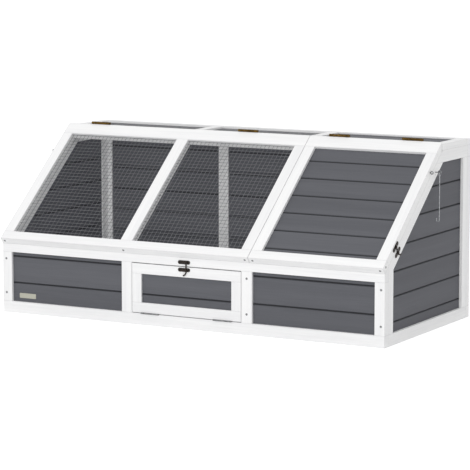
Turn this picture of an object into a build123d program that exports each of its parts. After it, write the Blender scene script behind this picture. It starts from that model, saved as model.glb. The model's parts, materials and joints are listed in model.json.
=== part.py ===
from build123d import *
from collections import namedtuple
from math import ceil, cos, floor, radians, sin, tan
import os

# Tortoise enclosure, in millimetres: +X to the right along the front, +Y to the back, +Z up.
# The origin lies on the ground under the middle of the overall box.

# Overall sizes
length = 1180
depth = 548
wall_height = 481
front_height = 194.3
slope_angle = 38.86

# Frame stock of the walls
stock = 22
rail_height = 32
front_rail_height = 23
stile_width = 29
slope_rail_width = 28
jamb_width = 31.6
door_opening = 339.6
rear_stile_width = 36
rear_left_upright_x = -175

# Roof frame, lids and door
roof_thickness = 17
roof_bar = 30
lid_thickness = 20.5
lid_rise = 5.8
lid_seat = 0.3
lid_top_rail = 42
lid_bottom_rail = 29
lid_stile = 30
lid_middle_stile = 36
lid_middle_place = 398
lid_gap = 1.2
lid_split_offset = 9.4
door_thickness = 20
door_stile = 29.3
door_rail = 28
door_side_gap = 1.2
door_top_gap = 2.3

# Boards, let into grooves in the frame stock
board_thickness = 9
board_depth = 8
door_board_depth = 5
roof_board_depth = 4
board_cover = 66
front_board_cover = 74.6
rear_board_cover = 63.4
board_chamfer = 3
board_back_chamfer = 2
board_lip = 6
board_lap = 6
fit = 0.3
narrowest_board = 2
side_groove = 58
front_groove = 84.6
rear_groove = 43.2
lid_groove = -90
roof_groove = 40

# Wire nets
net_wire = 1
net_gap = 22
net_depth = 6
net_lap = 5

# Doorway in the partition
doorway_width = 150
doorway_height = 150
lintel_height = 29

# Screws
screw_radius = 1.6
screw_head_radius = 3.2
screw_cone = 90
pilot_gap = 0.05
frame_screw_length = 38
lid_screw_length = 40
hinge_screw_length = 9
plate_screw_length = 10
screw_inset = 11
front_screw_low_inset = 24
front_screw_high_inset = 19.3
rear_screw_inset = 68

# Hinges
left_lid_hinge_insets = (108, 194)
right_lid_hinge_insets = (89, 86)
door_hinge_place = 112
knuckle_count = 5
knuckle_gap = 0.4
pin_gap = 0.05
leaf_screw_inset = 9
Hinge = namedtuple("Hinge", "length knuckle_radius pin_radius leaf_thickness leaf_width leaf_gap")
lid_hinge = Hinge(62, 3.5, 1.45, 1.2, 17, 0.2)
door_hinge = Hinge(56, 2, 0.9, 0.8, 14, 0.1)

# Latches
plate_length = 37
plate_width = 10.3
plate_thickness = 1.5
plate_screw_spread = 26
hook_thickness = 2
hook_gap = 0.2
hook_eye_radius = 3.6
hook_head_radius = 4.3
hook_width = 3.2
pivot_radius = 1.6
pivot_gap = 0.08
catch_gap = 0.35
mouth_flare = 0.8
head_radius = 2.9
head_thickness = 0.8
door_plate_x = -5
door_hook_offset = 7
door_keeper_rise = 10.7
hook_reach = 20.5
side_latch_inset = 87.5
tail_drop = 15
tail_side = 7
tail_elbow_drop = 9
tail_elbow_side = 1
tail_ball = 2.3

# Stay hooks and their screw eyes
lid_eye_place = -106
rail_eye_place = -79
lid_eye_radius = 3.6
lid_eye_wire = 1.2
rail_eye_radius = 4.5
rail_eye_wire = 1.25
stay_wire = 1.2
stay_eye_radius = 4.2
stay_bend_radius = 4
stay_reach = 124
stay_tip = 5
stay_gap = 0.4
eye_shank = 14
eye_standoff = 1

# Places that follow from the sizes above
rise = tan(radians(slope_angle))
slope_cos = cos(radians(slope_angle))
slope_sin = sin(radians(slope_angle))
lid_face_rise = lid_seat + lid_thickness
lid_overhang = lid_face_rise * slope_sin
left_x = -length / 2
right_x = length / 2
front_y = -(depth - lid_overhang) / 2
back_y = front_y + depth
inner_front_y = front_y + stock
inner_back_y = back_y - stock
roof_top = wall_height + roof_thickness
rail_top = wall_height - rail_height
front_rail_bottom = front_height - front_rail_height
lid_hinge_gap = 2 * (lid_hinge.leaf_thickness + lid_hinge.leaf_gap)
jamb_inner_x = door_opening / 2
jamb_outer_x = jamb_inner_x + jamb_width
partition_x = jamb_inner_x + jamb_width / 2
lid_split_x = partition_x + lid_split_offset
lid_corner_z = roof_top + lid_rise
lid_corner_y = front_y + (lid_corner_z - front_height - lid_face_rise / slope_cos) / rise
roof_front_y = lid_corner_y + lid_hinge_gap
lid_run = (lid_corner_y - front_y) / slope_cos + lid_face_rise * rise
hinge_axis_y = lid_corner_y + lid_hinge_gap / 2
hinge_axis_z = lid_corner_z + lid_hinge.knuckle_radius + lid_hinge.leaf_gap
door_gap = 2 * (door_hinge.leaf_thickness + door_hinge.leaf_gap)
door_axis_y = front_y - door_hinge.knuckle_radius - door_hinge.leaf_gap
door_axis_z = rail_height + door_gap / 2
door_bottom = rail_height + door_gap
door_top = front_rail_bottom - door_top_gap
door_side_x = jamb_inner_x - door_side_gap
left_lid_right_x = lid_split_x - lid_gap / 2
right_lid_left_x = lid_split_x + lid_gap / 2
side_latch_place = side_latch_inset - lid_run
door_keeper_z = front_rail_bottom + door_keeper_rise
front_screw_low = rail_height + front_screw_low_inset
front_screw_high = front_rail_bottom - front_screw_high_inset
rear_screw_low = rail_height + rear_screw_inset
rear_screw_high = rail_top - rear_screw_inset

Wall = namedtuple("Wall", "plane inward thickness board_depth")
Housing = namedtuple("Housing", "outline reach depth width")
Screw = namedtuple("Screw", "plane length")

# Walls: a plane on the outer face, the way in from it, and the thickness of the frame stock
front = Wall(Plane(origin=(0, front_y, 0), x_dir=(1, 0, 0), z_dir=(0, -1, 0)), -1, stock, board_depth)
rear = Wall(Plane(origin=(0, back_y, 0), x_dir=(1, 0, 0), z_dir=(0, -1, 0)), 1, stock, board_depth)
left = Wall(Plane.YZ.offset(left_x), 1, stock, board_depth)
right = Wall(Plane.YZ.offset(right_x), -1, stock, board_depth)
partition = Wall(Plane.YZ.offset(partition_x + stock / 2), -1, stock, board_depth)
roof = Wall(Plane.XY.offset(roof_top), -1, roof_thickness, roof_board_depth)
lid_plane = Plane(origin=(0, lid_corner_y, lid_corner_z), x_dir=(1, 0, 0), z_dir=(0, -slope_sin, slope_cos))
lid = Wall(lid_plane, -1, lid_thickness, board_depth)
door = Wall(front.plane, -1, door_thickness, door_board_depth)

os.makedirs("parts", exist_ok=True)


def slope_z(y, below=0):
    """Height of the walls' sloped edge at y, or of a line that far below it, square to the slope."""
    return front_height + (y - front_y) * rise - below / slope_cos


def slope_y(z, below=0):
    """The y at which the same line reaches the height z."""
    return front_y + (z - front_height + below / slope_cos) / rise


def box_outline(x0, y0, x1, y1):
    """The four corners of an upright rectangle on a wall."""
    return [(x0, y0), (x1, y0), (x1, y1), (x0, y1)]


def fill(outline, reach=0):
    """Fill an outline in the sketch in hand, pushed out by reach on every side."""
    with BuildLine() as edge:
        Polyline(*outline, close=True)
    make_face(edge.edges())
    if reach:
        offset(amount=reach, kind=Kind.INTERSECTION)


def save(part, label):
    """Name a finished piece and write it."""
    part.label = label
    export_step(part, f"parts/{label}.step")


def drill(screws):
    """Countersink and bore the piece in hand for the screws that pass through it."""
    for screw in screws:
        with Locations(Location(screw.plane)):
            CounterSinkHole(
                screw_radius + pilot_gap,
                screw_head_radius + pilot_gap,
                depth=screw.length + fit,
                counter_sink_angle=screw_cone,
            )


def frame_pieces(wall, outlines, housings=(), screws=(), trim=None):
    """Straight lengths of frame stock on one wall, grooved for the boards or nets that they hold.

    A trim plane saws off what stands on its outer side."""
    with BuildPart() as pieces:
        with BuildSketch(wall.plane):
            for outline in outlines:
                fill(outline)
        extrude(amount=wall.inward * wall.thickness)
        for housing in housings:
            with BuildSketch(wall.plane.offset(wall.inward * housing.depth)):
                fill(housing.outline, housing.reach)
            extrude(amount=wall.inward * housing.width, mode=Mode.SUBTRACT)
        if trim:
            split(bisect_by=trim, keep=Keep.BOTTOM)
        drill(screws)
    return pieces.part


def board_housing(wall, outline):
    """The groove round a bay of boards."""
    return Housing(outline, board_lap + fit, wall.board_depth - fit / 2, board_thickness + fit)


def net_housing(outline):
    """The saw cut round a net."""
    return Housing(outline, net_lap + fit, net_depth - fit / 2, net_wire + fit)


def boards(wall, bays, groove, cover):
    """Chamfered boards with a half lap, laid over the bays so that one joint falls on groove.

    Each board's section is drawn across the wall, pushed along it, and cut to the bay with its lap."""
    half = board_thickness / 2
    top = cover - fit
    section = [
        (board_chamfer, 0),
        (0, board_chamfer),
        (0, top - board_chamfer),
        (board_chamfer, top),
        (half, top),
        (half, top + board_lip),
        (board_thickness - board_back_chamfer, top + board_lip),
        (board_thickness, top + board_lip - board_back_chamfer),
        (board_thickness, board_lip + board_back_chamfer),
        (board_thickness - board_back_chamfer, board_lip),
        (half - fit, board_lip),
        (half - fit, 0),
    ]
    inward = wall.plane.z_dir * wall.inward
    along = wall.plane.x_dir * -wall.inward
    with BuildPart() as panel:
        for bay in bays:
            across = [point[0] for point in bay]
            up = [point[1] for point in bay]
            first = floor((min(up) + narrowest_board - groove + fit) / cover)
            last = ceil((max(up) - narrowest_board - groove) / cover)
            for course in range(first, last):
                start = wall.plane.from_local_coords(
                    (min(across) - board_lap, groove + course * cover, wall.inward * wall.board_depth)
                )
                with BuildSketch(Plane(origin=start, x_dir=inward, z_dir=along)):
                    fill(section)
                extrude(amount=-wall.inward * (max(across) - min(across) + 2 * board_lap))
        with BuildSketch(wall.plane.offset(wall.inward * (wall.board_depth - fit))):
            for bay in bays:
                fill_bay(bay)
        extrude(amount=wall.inward * (board_thickness + 2 * fit), mode=Mode.INTERSECT)
    return panel.part


def fill_bay(bay):
    """Fill one bay with its lap as a face of its own, beside the others in the sketch."""
    with BuildSketch(mode=Mode.PRIVATE) as lapped:
        fill(bay, board_lap)
    add(lapped.sketch_local)


def net(wall, outline):
    """A flat net of square gaps, its edge let into the saw cut."""
    x0, y0 = outline[0]
    x1, y1 = outline[2]
    across = round((x1 - x0) / net_gap)
    down = round((y1 - y0) / net_gap)
    pitch_x = (x1 - x0) / across
    pitch_y = (y1 - y0) / down
    with BuildPart() as sheet:
        with BuildSketch(wall.plane.offset(wall.inward * net_depth)):
            with Locations(((x0 + x1) / 2, (y0 + y1) / 2)):
                Rectangle(x1 - x0 + 2 * net_lap, y1 - y0 + 2 * net_lap)
                with GridLocations(pitch_x, pitch_y, across, down):
                    Rectangle(pitch_x - net_wire, pitch_y - net_wire, mode=Mode.SUBTRACT)
        extrude(amount=wall.inward * net_wire)
    return sheet.part


def screw_group(screws):
    """Countersunk screws, heads flush with the face that they are driven into."""
    cone = screw_head_radius - screw_radius
    with BuildPart() as group:
        for screw in screws:
            with Locations(Location(screw.plane)):
                Cylinder(screw_radius, screw.length, align=(Align.CENTER, Align.CENTER, Align.MAX))
                Cone(screw_radius, screw_head_radius, cone, align=(Align.CENTER, Align.CENTER, Align.MAX))
    return group.part


# Screws: each is a plane on the face where its head lies, looking out, and a length
def wall_screws(wall, places):
    outward = wall.plane.z_dir * -wall.inward
    return [
        Screw(Plane(origin=wall.plane.from_local_coords(place), z_dir=outward), frame_screw_length)
        for place in places
    ]


corner_x = right_x - screw_inset
front_corner_screws = wall_screws(
    front, [(side * corner_x, z) for side in (-1, 1) for z in (front_screw_low, front_screw_high)]
)
front_jamb_screws = wall_screws(front, [(partition_x, z) for z in (front_screw_low, front_screw_high)])
rear_corner_screws = wall_screws(
    rear, [(side * corner_x, z) for side in (-1, 1) for z in (rear_screw_low, rear_screw_high)]
)
rear_middle_screws = wall_screws(rear, [(partition_x, z) for z in (rear_screw_low, rear_screw_high)])
front_screws = front_corner_screws + front_jamb_screws
rear_screws = rear_corner_screws + rear_middle_screws


# Hinges: a plane across the pin at mid length, its -y running down the closed leaves
def lid_hinge_plane(x):
    return Plane(origin=(x, hinge_axis_y, hinge_axis_z), x_dir=(0, 1, 0), z_dir=(1, 0, 0))


def door_hinge_plane(x):
    return Plane(origin=(x, door_axis_y, door_axis_z), x_dir=(0, 0, 1), z_dir=(1, 0, 0))


def leaf_screws(planes, side, hinge):
    """Three screws in each leaf, driven from the gap between the leaves."""
    run = hinge.length / 2 - leaf_screw_inset
    middle = -hinge.knuckle_radius - fit - hinge.leaf_width / 2
    return [
        Screw(
            Plane(
                origin=plane.from_local_coords((side * hinge.leaf_gap, middle, place)),
                z_dir=plane.x_dir * -side,
            ),
            hinge_screw_length,
        )
        for plane in planes
        for place in (-run, 0, run)
    ]


def hinge_leaves(planes, side, hinge, outer):
    """Hinge leaves on one side of the pin: a flat leaf and every other knuckle, bored for the pin."""
    pitch = hinge.length / knuckle_count
    chosen = range(0 if outer else 1, knuckle_count, 2)
    leaf_middle = side * (hinge.leaf_gap + hinge.leaf_thickness / 2)
    leaf_top = hinge.knuckle_radius + fit
    with BuildPart() as leaves:
        for plane in planes:
            with BuildSketch(plane.offset(-hinge.length / 2)):
                with Locations((leaf_middle, -leaf_top - hinge.leaf_width / 2)):
                    Rectangle(hinge.leaf_thickness, hinge.leaf_width)
            extrude(amount=hinge.length)
            for knuckle in chosen:
                start = -hinge.length / 2 + knuckle * pitch + knuckle_gap / 2
                with BuildSketch(plane.offset(start)):
                    Circle(hinge.knuckle_radius)
                    with Locations((leaf_middle, -leaf_top / 2 - hinge.leaf_thickness / 2)):
                        Rectangle(hinge.leaf_thickness, leaf_top)
                    Circle(hinge.pin_radius + pin_gap, mode=Mode.SUBTRACT)
                extrude(amount=pitch - knuckle_gap)
        drill(leaf_screws(planes, side, hinge))
    return leaves.part


def hinge_pins(planes, hinge):
    """Pins as long as their hinges."""
    with BuildPart() as pins:
        for plane in planes:
            with BuildSketch(plane.offset(-hinge.length / 2)):
                Circle(hinge.pin_radius)
            extrude(amount=hinge.length)
    return pins.part


left_lid_hinges = [
    lid_hinge_plane(left_x + left_lid_hinge_insets[0]),
    lid_hinge_plane(left_lid_right_x - left_lid_hinge_insets[1]),
]
right_lid_hinges = [
    lid_hinge_plane(right_lid_left_x + right_lid_hinge_insets[0]),
    lid_hinge_plane(right_x - right_lid_hinge_insets[1]),
]
lid_hinges = left_lid_hinges + right_lid_hinges
door_hinges = [door_hinge_plane(side * door_hinge_place) for side in (-1, 1)]
fixed_side = 1
moving_side = -1
roof_leaf_screws = leaf_screws(lid_hinges, fixed_side, lid_hinge)
left_lid_leaf_screws = leaf_screws(left_lid_hinges, moving_side, lid_hinge)
right_lid_leaf_screws = leaf_screws(right_lid_hinges, moving_side, lid_hinge)
front_leaf_screws = leaf_screws(door_hinges, moving_side, door_hinge)
door_leaf_screws = leaf_screws(door_hinges, fixed_side, door_hinge)


# Latches: a plane on the face that a plate lies on, its x along the plate
def side_plane(side, place, below):
    """A plane on a side face, at a place down the slope and a depth below the lid's face."""
    point = lid_plane.from_local_coords((side * right_x, place, -below))
    return Plane(
        origin=(side * right_x, point.Y, point.Z), x_dir=(0, slope_cos, slope_sin), z_dir=(side, 0, 0)
    )


def plate_screws(plane):
    """Two screws, one near each end of a plate."""
    return [
        Screw(
            Plane(origin=plane.from_local_coords((place, 0, plate_thickness)), z_dir=plane.z_dir),
            plate_screw_length,
        )
        for place in (-plate_screw_spread / 2, plate_screw_spread / 2)
    ]


def latch_plates(planes, post_place, post_height, headed):
    """Round-ended plates with two screw holes and a post, which has a head where it holds the hook."""
    with BuildPart() as plates:
        for plane in planes:
            with BuildSketch(plane):
                SlotOverall(plate_length, plate_width)
            extrude(amount=plate_thickness)
            with BuildSketch(plane):
                with Locations((post_place, 0)):
                    Circle(pivot_radius)
            extrude(amount=post_height)
            if headed:
                with BuildSketch(plane.offset(post_height)):
                    with Locations((post_place, 0)):
                        Circle(head_radius)
                extrude(amount=head_thickness)
            drill(plate_screws(plane))
    return plates.part


def latch_hook(pivot, mouth):
    """A flat hook on a pivot: an eye, a shank, a head open to one side, and a curled finger tail.

    The pivot plane's y runs from the pivot to the head, and mouth is the open side, -1 or 1 along x."""
    slot = pivot_radius + catch_gap
    with BuildPart() as hook:
        with BuildSketch(pivot.offset(plate_thickness + hook_gap)):
            Circle(hook_eye_radius)
            with Locations((0, hook_reach)):
                Circle(hook_head_radius)
            with Locations((0, hook_reach / 2)):
                Rectangle(hook_width, hook_reach)
            with BuildLine():
                elbow = (mouth * tail_elbow_side, -tail_elbow_drop)
                ThreePointArc((0, 0), elbow, (mouth * tail_side, -tail_drop))
            trace(line_width=hook_width)
            with Locations((mouth * tail_side, -tail_drop)):
                Circle(tail_ball)
            Circle(pivot_radius + pivot_gap, mode=Mode.SUBTRACT)
            with Locations((0, hook_reach)):
                Circle(slot, mode=Mode.SUBTRACT)
            with Locations((mouth * hook_head_radius / 2, hook_reach - mouth_flare / 2)):
                Rectangle(hook_head_radius + fit, 2 * slot + mouth_flare, mode=Mode.SUBTRACT)
        extrude(amount=hook_thickness)
    return hook.part


hook_layer = plate_thickness + hook_thickness + 2 * hook_gap
door_plate_z = door_keeper_z - hook_reach
door_hook_x = door_plate_x + door_hook_offset
lid_middle = lid_thickness / 2
rail_middle = lid_thickness + lid_seat + slope_rail_width / 2
sides = (-1, 1)
side_names = {-1: "left", 1: "right"}
door_keeper_plane = Plane(origin=(door_plate_x, front_y, door_keeper_z), x_dir=(1, 0, 0), z_dir=(0, -1, 0))
door_plate_plane = Plane(origin=(door_plate_x, front_y, door_plate_z), x_dir=(1, 0, 0), z_dir=(0, -1, 0))
keeper_planes = {side: side_plane(side, side_latch_place, lid_middle) for side in sides}
rail_plate_planes = {side: side_plane(side, side_latch_place, lid_middle + hook_reach) for side in sides}


# Screw eyes and stay hooks
def eye_centre(side, place, below, radius, wire):
    """Centre of a ring whose shank is driven into a side face."""
    point = lid_plane.from_local_coords((side * right_x, place, -below))
    return (side * (right_x + eye_standoff + radius + wire), point.Y, point.Z)


def screw_eyes(centres, radius, wire):
    """Rings standing on their shanks, each ring in an upright plane square to the side face."""
    with BuildPart() as eyes:
        for centre in centres:
            side = 1 if centre[0] > 0 else -1
            ring = Plane(origin=centre, x_dir=(-side, 0, 0), z_dir=(0, 1, 0))
            with Locations(Location(ring)):
                Torus(radius, wire)
            foot = Plane(origin=ring.from_local_coords((radius, 0, 0)), z_dir=(-side, 0, 0))
            with BuildSketch(foot):
                Circle(wire)
            extrude(amount=eye_shank)
    return eyes.part


lid_eye_reach = 2 * (lid_eye_radius + lid_eye_wire)
rail_eye_offset = lid_eye_reach + stay_gap + stay_wire - rail_eye_radius - rail_eye_wire


def rail_eye_centre(side):
    """The rail's eye stands out far enough for the stay hook to pass outside the lid's eye."""
    x, y, z = eye_centre(side, rail_eye_place, rail_middle, rail_eye_radius, rail_eye_wire)
    return (x + side * rail_eye_offset, y, z)


def stay_pivot(side):
    """The stay hook turns about the lowest point of the rail's ring."""
    x, y, z = rail_eye_centre(side)
    return (x, y, z - rail_eye_radius)


def stay_hook(side):
    """A wire hook hanging from the rail's eye: a ring, a straight shank, and a bend towards the wall."""
    pivot = Vector(*stay_pivot(side))
    ring_drop = stay_eye_radius - rail_eye_wire - fit - stay_wire
    hanging = Plane(origin=pivot, x_dir=(-side, 0, 0), z_dir=(0, side, 0))
    with BuildPart() as hook:
        with Locations(Location(Plane(origin=pivot - Vector(0, 0, ring_drop), z_dir=(1, 0, 0)))):
            Torus(stay_eye_radius, stay_wire)
        with BuildLine(hanging) as route:
            Line((0, -ring_drop - stay_eye_radius), (0, -stay_reach))
            bend = CenterArc((stay_bend_radius, -stay_reach), stay_bend_radius, 180, 180)
            Line(bend @ 1, (2 * stay_bend_radius, -stay_reach + stay_tip))
        with BuildSketch(Plane(origin=route.line @ 0, z_dir=route.line % 0)):
            Circle(stay_wire)
        sweep(path=route.line)
    return hook.part


def eye_bore(centre, radius, wire):
    """The bore that a screw eye's shank is driven into."""
    side = 1 if centre[0] > 0 else -1
    start = Plane(origin=(side * right_x, centre[1], centre[2]), z_dir=(side, 0, 0))
    return start, wire + pilot_gap, eye_shank + fit - abs(centre[0]) + radius + right_x


def bore(part, bores):
    """Bore a finished piece for screw eyes."""
    with BuildPart() as bored:
        add(part)
        for plane, radius, reach in bores:
            with BuildSketch(plane):
                Circle(radius)
            extrude(amount=-reach, mode=Mode.SUBTRACT)
    return bored.part


lid_eyes = {
    side: eye_centre(side, lid_eye_place, lid_middle, lid_eye_radius, lid_eye_wire) for side in sides
}
rail_eyes = {side: rail_eye_centre(side) for side in sides}

# Front wall: two rails, two corner stiles and two door jambs round three bays
panel_left = box_outline(left_x + stile_width, rail_height, -jamb_outer_x, front_rail_bottom)
panel_right = box_outline(jamb_outer_x, rail_height, right_x - stile_width, front_rail_bottom)
front_housings = [board_housing(front, panel_left), board_housing(front, panel_right)]
slope_trim = Plane(origin=(0, front_y, front_height), z_dir=(0, -slope_sin, slope_cos))
save(
    frame_pieces(
        front,
        [box_outline(left_x, 0, right_x, rail_height)],
        front_housings,
        front_leaf_screws,
    ),
    "front_bottom_rail",
)
save(
    frame_pieces(
        front,
        [box_outline(left_x, front_rail_bottom, right_x, slope_z(inner_front_y))],
        front_housings,
        plate_screws(door_keeper_plane),
        slope_trim,
    ),
    "front_top_rail",
)
save(
    frame_pieces(
        front,
        [
            box_outline(left_x, rail_height, left_x + stile_width, front_rail_bottom),
            box_outline(right_x - stile_width, rail_height, right_x, front_rail_bottom),
        ],
        front_housings,
        front_corner_screws,
    ),
    "front_stiles",
)
save(
    frame_pieces(
        front,
        [
            box_outline(side * jamb_inner_x, rail_height, side * jamb_outer_x, front_rail_bottom)
            for side in sides
        ],
        front_housings,
        front_jamb_screws,
    ),
    "door_jambs",
)
save(boards(front, [panel_left], front_groove, front_board_cover), "front_boards_left")
save(boards(front, [panel_right], front_groove, front_board_cover), "front_boards_right")

# Side walls: a sloped rail over a front stile, and a level rail over the boards behind it
front_post_y = inner_front_y + stile_width
rear_post_y = inner_back_y - stile_width
slope_end_y = slope_y(rail_top, slope_rail_width)
side_bay = [
    (front_post_y, rail_height),
    (rear_post_y, rail_height),
    (rear_post_y, rail_top),
    (slope_end_y, rail_top),
    (front_post_y, slope_z(front_post_y, slope_rail_width)),
]
bottom_rail = box_outline(inner_front_y, 0, inner_back_y, rail_height)
top_rail = [
    (slope_y(rail_top), rail_top),
    (inner_back_y, rail_top),
    (inner_back_y, wall_height),
    (slope_y(wall_height), wall_height),
]
sloped_rail = [
    (inner_front_y, slope_z(inner_front_y, slope_rail_width)),
    (slope_end_y, rail_top),
    (slope_y(rail_top), rail_top),
    (inner_front_y, slope_z(inner_front_y)),
]


def front_post(foot):
    """The upright behind the front wall, cut to the slope under the sloped rail."""
    return [
        (inner_front_y, foot),
        (front_post_y, foot),
        (front_post_y, slope_z(front_post_y, slope_rail_width)),
        (inner_front_y, slope_z(inner_front_y, slope_rail_width)),
    ]


def rear_post(foot):
    """The upright before the rear wall."""
    return box_outline(rear_post_y, foot, inner_back_y, rail_top)


for side, wall in ((-1, left), (1, right)):
    name = side_names[side]
    housings = [board_housing(wall, side_bay)]
    latch_screws = plate_screws(rail_plate_planes[side])
    rail_bore = eye_bore(rail_eyes[side], rail_eye_radius, rail_eye_wire)
    sloped = frame_pieces(wall, [sloped_rail], housings, latch_screws)
    save(bore(sloped, [rail_bore]), f"{name}_side_slope_rail")
    save(frame_pieces(wall, [bottom_rail, top_rail], housings), f"{name}_side_rails")
    save(
        frame_pieces(
            wall,
            [front_post(rail_height), rear_post(rail_height)],
            housings,
            front_corner_screws + rear_corner_screws,
        ),
        f"{name}_side_stiles",
    )
    save(boards(wall, [side_bay], side_groove, board_cover), f"{name}_side_boards")

# Rear wall: level with the side walls, with two middle uprights, the right one behind the partition
rear_left_stile_x = left_x + rear_stile_width
rear_right_stile_x = right_x - rear_stile_width
rear_upright_x = (rear_left_upright_x - jamb_width / 2, rear_left_upright_x + jamb_width / 2)
rear_bays = [
    box_outline(rear_left_stile_x, rail_height, rear_upright_x[0], rail_top),
    box_outline(rear_upright_x[1], rail_height, jamb_inner_x, rail_top),
    box_outline(jamb_outer_x, rail_height, rear_right_stile_x, rail_top),
]
rear_housings = [board_housing(rear, bay) for bay in rear_bays]
save(
    frame_pieces(
        rear,
        [box_outline(left_x, 0, right_x, rail_height), box_outline(left_x, rail_top, right_x, wall_height)],
        rear_housings,
    ),
    "rear_rails",
)
save(
    frame_pieces(
        rear,
        [
            box_outline(left_x, rail_height, rear_left_stile_x, rail_top),
            box_outline(rear_upright_x[0], rail_height, rear_upright_x[1], rail_top),
            box_outline(jamb_inner_x, rail_height, jamb_outer_x, rail_top),
            box_outline(rear_right_stile_x, rail_height, right_x, rail_top),
        ],
        rear_housings,
        rear_screws,
    ),
    "rear_uprights",
)
save(boards(rear, rear_bays, rear_groove, rear_board_cover), "rear_boards")

# Partition between the run and the sleeping room, with a doorway behind its front post
doorway_y = front_post_y + doorway_width
lintel_top = doorway_height + lintel_height
middle_post_y = doorway_y + stile_width
over_doorway = [
    (front_post_y, lintel_top),
    (doorway_y, lintel_top),
    (doorway_y, slope_z(doorway_y, slope_rail_width)),
    (front_post_y, slope_z(front_post_y, slope_rail_width)),
]
behind_doorway = [
    (middle_post_y, rail_height),
    (rear_post_y, rail_height),
    (rear_post_y, rail_top),
    (slope_end_y, rail_top),
    (middle_post_y, slope_z(middle_post_y, slope_rail_width)),
]
partition_housings = [board_housing(partition, bay) for bay in (over_doorway, behind_doorway)]
middle_post = [
    (doorway_y, 0),
    (middle_post_y, 0),
    (middle_post_y, slope_z(middle_post_y, slope_rail_width)),
    (doorway_y, slope_z(doorway_y, slope_rail_width)),
]
save(
    frame_pieces(
        partition,
        [front_post(0), middle_post, rear_post(0)],
        partition_housings,
        front_jamb_screws + rear_middle_screws,
    ),
    "partition_posts",
)
save(
    frame_pieces(
        partition,
        [
            box_outline(middle_post_y, 0, rear_post_y, rail_height),
            box_outline(front_post_y, doorway_height, doorway_y, lintel_top),
            sloped_rail,
        ],
        partition_housings,
    ),
    "partition_rails",
)
save(frame_pieces(partition, [top_rail], partition_housings), "partition_top_rail")
save(boards(partition, [over_doorway, behind_doorway], side_groove, board_cover), "partition_boards")

# Roof frame: a front and a back rail joined by four bars, two netted bays and a boarded one
roof_inner_front = roof_front_y + roof_bar
roof_inner_back = back_y - roof_bar
bar_left = -partition_x
bar_right = partition_x
half_bar = roof_bar / 2
roof_left_bay = box_outline(left_x + roof_bar, roof_inner_front, bar_left - half_bar, roof_inner_back)
roof_middle_bay = box_outline(bar_left + half_bar, roof_inner_front, bar_right - half_bar, roof_inner_back)
roof_right_bay = box_outline(bar_right + half_bar, roof_inner_front, right_x - roof_bar, roof_inner_back)
roof_housings = [
    net_housing(roof_left_bay),
    net_housing(roof_middle_bay),
    board_housing(roof, roof_right_bay),
]
save(
    frame_pieces(
        roof,
        [
            box_outline(left_x, roof_front_y, right_x, roof_inner_front),
            box_outline(left_x, roof_inner_back, right_x, back_y),
        ],
        roof_housings,
        roof_leaf_screws,
    ),
    "roof_rails",
)
save(
    frame_pieces(
        roof,
        [
            box_outline(x - half_bar, roof_inner_front, x + half_bar, roof_inner_back)
            for x in (left_x + half_bar, bar_left, bar_right, right_x - half_bar)
        ],
        roof_housings,
    ),
    "roof_bars",
)
save(net(roof, roof_left_bay), "roof_net_left")
save(net(roof, roof_middle_bay), "roof_net_middle")
save(boards(roof, [roof_right_bay], roof_groove, board_cover), "roof_boards")

# Lids: rails run through, stiles stand between them, and the top edge is sawn upright for the hinges
lid_trim = Plane(origin=(0, lid_corner_y, 0), z_dir=(0, 1, 0))
lid_top_reach = lid_thickness * rise
middle_left_x = left_x + lid_middle_place - lid_middle_stile / 2
middle_right_x = middle_left_x + lid_middle_stile
bay_bottom = -lid_run + lid_bottom_rail
outer_net_bay = box_outline(left_x + lid_stile, bay_bottom, middle_left_x, -lid_top_rail)
inner_net_bay = box_outline(middle_right_x, bay_bottom, left_lid_right_x - lid_stile, -lid_top_rail)
lid_board_bay = box_outline(right_lid_left_x + lid_stile, bay_bottom, right_x - lid_stile, -lid_top_rail)
left_lid_housings = [net_housing(outer_net_bay), net_housing(inner_net_bay)]
right_lid_housings = [board_housing(lid, lid_board_bay)]
lid_end_middle = -lid_thickness / 2


def lid_edge_screws(places):
    """Screws driven up the slope through the bottom rail into the stile ends."""
    return [
        Screw(
            Plane(
                origin=lid_plane.from_local_coords((x, -lid_run, lid_end_middle)),
                z_dir=lid_plane.y_dir * -1,
            ),
            lid_screw_length,
        )
        for x in places
    ]


def lid_side_screw(side):
    """The screw in the end of the bottom rail, beside the front corner."""
    point = lid_plane.from_local_coords((side * right_x, -lid_run + lid_bottom_rail / 2, lid_end_middle))
    return Screw(Plane(origin=point, z_dir=(side, 0, 0)), plate_screw_length)


left_edge_screws = lid_edge_screws(
    [left_x + screw_inset, left_x + lid_middle_place, left_lid_right_x - screw_inset]
)
right_edge_screws = lid_edge_screws([right_lid_left_x + screw_inset, right_x - screw_inset])
left_side_screw = lid_side_screw(-1)
right_side_screw = lid_side_screw(1)


def lid_rails(x0, x1, housings, screws):
    """The two rails of a lid from x0 to x1."""
    return frame_pieces(
        lid,
        [
            box_outline(x0, -lid_run, x1, bay_bottom),
            box_outline(x0, -lid_top_rail, x1, lid_top_reach),
        ],
        housings,
        screws,
        lid_trim,
    )


def lid_stiles(places, housings, screws):
    """The stiles of a lid, each from its left to its right edge."""
    return frame_pieces(
        lid, [box_outline(x0, bay_bottom, x1, -lid_top_rail) for x0, x1 in places], housings, screws
    )


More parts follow.
